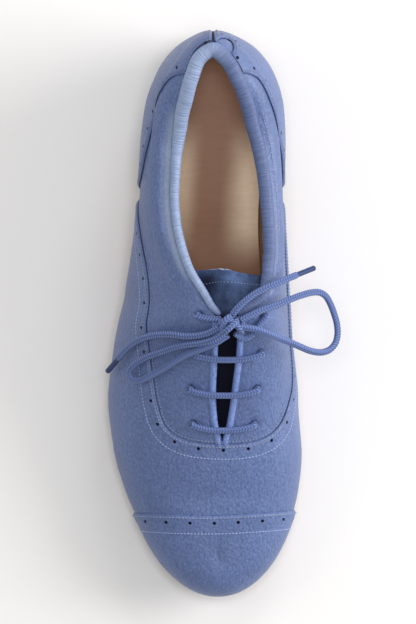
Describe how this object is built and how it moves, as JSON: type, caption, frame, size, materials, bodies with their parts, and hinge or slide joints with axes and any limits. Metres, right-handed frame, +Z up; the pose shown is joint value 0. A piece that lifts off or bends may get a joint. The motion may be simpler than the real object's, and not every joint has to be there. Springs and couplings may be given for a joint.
{
  "type": "tap shoe",
  "caption": "Right foot's laced oxford tap shoe in blue leather, cap toe and heel counters, padded collar, tied bow, leather sole, low heel, metal toe and heel taps.",
  "frame": {"origin": "on the floor under the middle of the shoe's box, its bow left out", "axes": "+X to the big toe's side, +Y to the heel, +Z up; the toe points to -Y"},
  "size_m": [0.1092, 0.263, 0.0912],
  "materials": {
    "upper_leather": "soft pebbled leather, satin",
    "insole_leather": "smooth tan lining leather, matt",
    "sole_leather": "natural sole leather, smooth",
    "heel_leather": "stacked leather, dyed and waxed",
    "tap_metal": "cast and tumbled, satin",
    "screw_steel": "zinc plated",
    "lace": "braided cotton cord",
    "aglet": "shrunk plastic film over the lace's tip"
  },
  "bodies": {
    "root": {"upper": "upper_leather", "vamp": "upper_leather", "toe_cap": "upper_leather", "counter_lateral": "upper_leather", "counter_medial": "upper_leather", "collar_binding": "upper_leather", "tongue": "upper_leather", "insole": "insole_leather", "outsole": "sole_leather", "heel": "heel_leather", "toe_tap": "tap_metal", "heel_tap": "tap_metal", "toe_screw_1": "screw_steel", "toe_screw_2": "screw_steel", "toe_screw_3": "screw_steel", "heel_screw_1": "screw_steel", "heel_screw_2": "screw_steel", "heel_screw_3": "screw_steel", "lace_bar_1": "lace", "lace_bar_2": "lace", "lace_bar_3": "lace", "lace_run_lateral": "lace", "lace_run_medial": "lace", "lace_knot": "lace", "lace_loop_lateral": "lace", "lace_loop_medial": "lace", "lace_end_lateral": "lace", "lace_end_medial": "lace", "aglet_lateral": "aglet", "aglet_medial": "aglet"}
  },
  "joints": []
}
